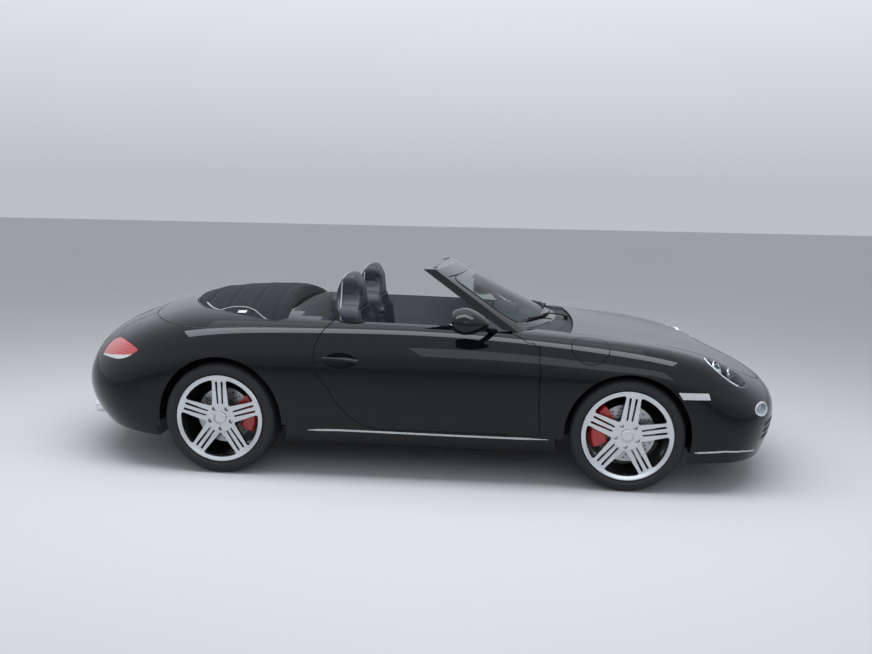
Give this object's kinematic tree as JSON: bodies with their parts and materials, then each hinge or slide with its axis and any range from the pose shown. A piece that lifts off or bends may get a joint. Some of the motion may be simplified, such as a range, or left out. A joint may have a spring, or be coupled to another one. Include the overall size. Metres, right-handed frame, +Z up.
{
  "type": "two-door convertible car",
  "caption": "Open two-door rear-engined convertible car, fabric top folded, with turning and steering wheels, doors and lids.",
  "frame": {"origin": "on the ground at the centre of the car's outline", "axes": "+X to the front, +Y to the car's left, +Z up"},
  "size_m": [4.4311, 2.176, 1.2072],
  "materials": {
    "paint": "gloss black",
    "shell": "gloss black",
    "screen_frame": "gloss black",
    "tyre": "matte",
    "rim": "machined faces, dark pockets",
    "disc": "machined",
    "caliper": "gloss red",
    "upright": "cast",
    "arms": "cast",
    "glass": "clear",
    "lens": "clear, red at the rear",
    "bowl": "dark with bright rings",
    "exhaust": "polished",
    "fabric": "woven, black",
    "seat": "grained",
    "trim": "satin",
    "engine": "cast"
  },
  "bodies": {
    "body": {"body_tub": "shell", "front_fenders": "paint", "front_bumper": "paint", "rear_bumper": "paint", "windscreen_frame": "screen_frame", "windscreen": "glass", "folded_top": "fabric", "seat_left": "seat", "seat_right": "seat", "rear_seats": "seat", "dashboard": "trim", "engine_block": "engine", "front_chassis": "shell", "lamp_lenses": "lens", "lamp_bowls": "bowl", "exhaust": "exhaust", "front_suspension": "arms", "rear_suspension": "arms", "rear_hubs": "upright", "rear_calipers": "caliper"},
    "steer_left": {"knuckle_left": "upright", "caliper_front_left": "caliper"},
    "steer_right": {"knuckle_right": "upright", "caliper_front_right": "caliper"},
    "front_lid": {"front_lid": "paint"},
    "engine_lid": {"engine_lid": "paint"},
    "top_lid": {"top_lid": "paint"},
    "fuel_flap": {"fuel_flap": "paint"},
    "steering_wheel": {"steering_wheel": "trim"},
    "door_left": {"door_left": "paint", "mirror_left": "paint"},
    "door_right": {"door_right": "paint", "mirror_right": "paint"},
    "wheel_front_left": {"tyre_front_left": "tyre", "rim_front_left": "rim", "disc_front_left": "disc"},
    "wheel_front_right": {"tyre_front_right": "tyre", "rim_front_right": "rim", "disc_front_right": "disc"},
    "wheel_rear_left": {"tyre_rear_left": "tyre", "rim_rear_left": "rim", "disc_rear_left": "disc"},
    "wheel_rear_right": {"tyre_rear_right": "tyre", "rim_rear_right": "rim", "disc_rear_right": "disc"}
  },
  "joints": [
    {"name": "wheel_front_left_spin", "type": "hinge", "parent": "steer_left", "child": "wheel_front_left", "pos_m": [1.2525, 0.743, 0.3235], "axis": [0, 1, 0], "continuous": true},
    {"name": "wheel_front_right_spin", "type": "hinge", "parent": "steer_right", "child": "wheel_front_right", "pos_m": [1.2525, -0.743, 0.3235], "axis": [0, 1, 0], "continuous": true},
    {"name": "wheel_rear_left_spin", "type": "hinge", "parent": "body", "child": "wheel_rear_left", "pos_m": [-1.0975, 0.748, 0.3298], "axis": [0, 1, 0], "continuous": true},
    {"name": "wheel_rear_right_spin", "type": "hinge", "parent": "body", "child": "wheel_rear_right", "pos_m": [-1.0975, -0.748, 0.3298], "axis": [0, 1, 0], "continuous": true},
    {"name": "steer_left", "type": "hinge", "parent": "body", "child": "steer_left", "pos_m": [1.2525, 0.655, 0.3235], "axis": [0, 0, 1], "range_deg": [-28, 28]},
    {"name": "steer_right", "type": "hinge", "parent": "body", "child": "steer_right", "pos_m": [1.2525, -0.655, 0.3235], "axis": [0, 0, 1], "range_deg": [-28, 28]},
    {"name": "steering_wheel", "type": "hinge", "parent": "body", "child": "steering_wheel", "pos_m": [0.3475, 0.37, 0.735], "axis": [-0.9063, 0, 0.4226], "range_deg": [-470, 470]},
    {"name": "door_left", "type": "hinge", "parent": "body", "child": "door_left", "pos_m": [0.6855, 0.815, 0.52], "axis": [0, 0, -1], "range_deg": [0, 65]},
    {"name": "door_right", "type": "hinge", "parent": "body", "child": "door_right", "pos_m": [0.6855, -0.815, 0.52], "axis": [0, 0, 1], "range_deg": [0, 65]},
    {"name": "front_lid", "type": "hinge", "parent": "body", "child": "front_lid", "pos_m": [0.9075, 0, 0.822], "axis": [0, -1, 0], "range_deg": [0, 50]},
    {"name": "engine_lid", "type": "hinge", "parent": "body", "child": "engine_lid", "pos_m": [-1.7665, 0, 0.8592], "axis": [0, 1, 0], "range_deg": [0, 60]},
    {"name": "top_lid", "type": "hinge", "parent": "body", "child": "top_lid", "pos_m": [-1.6375, 0, 0.90048], "axis": [0, -1, 0], "range_deg": [0, 45]},
    {"name": "fuel_flap", "type": "hinge", "parent": "body", "child": "fuel_flap", "pos_m": [1.0625, -0.77733, 0.797], "axis": [0, 0.682, 0.7314], "range_deg": [0, 60]}
  ],
  "couplings": [
    {"joint": "steer_right", "follows": "steer_left", "ratio": 1},
    {"joint": "steering_wheel", "follows": "steer_left", "ratio": 16.5}
  ]
}
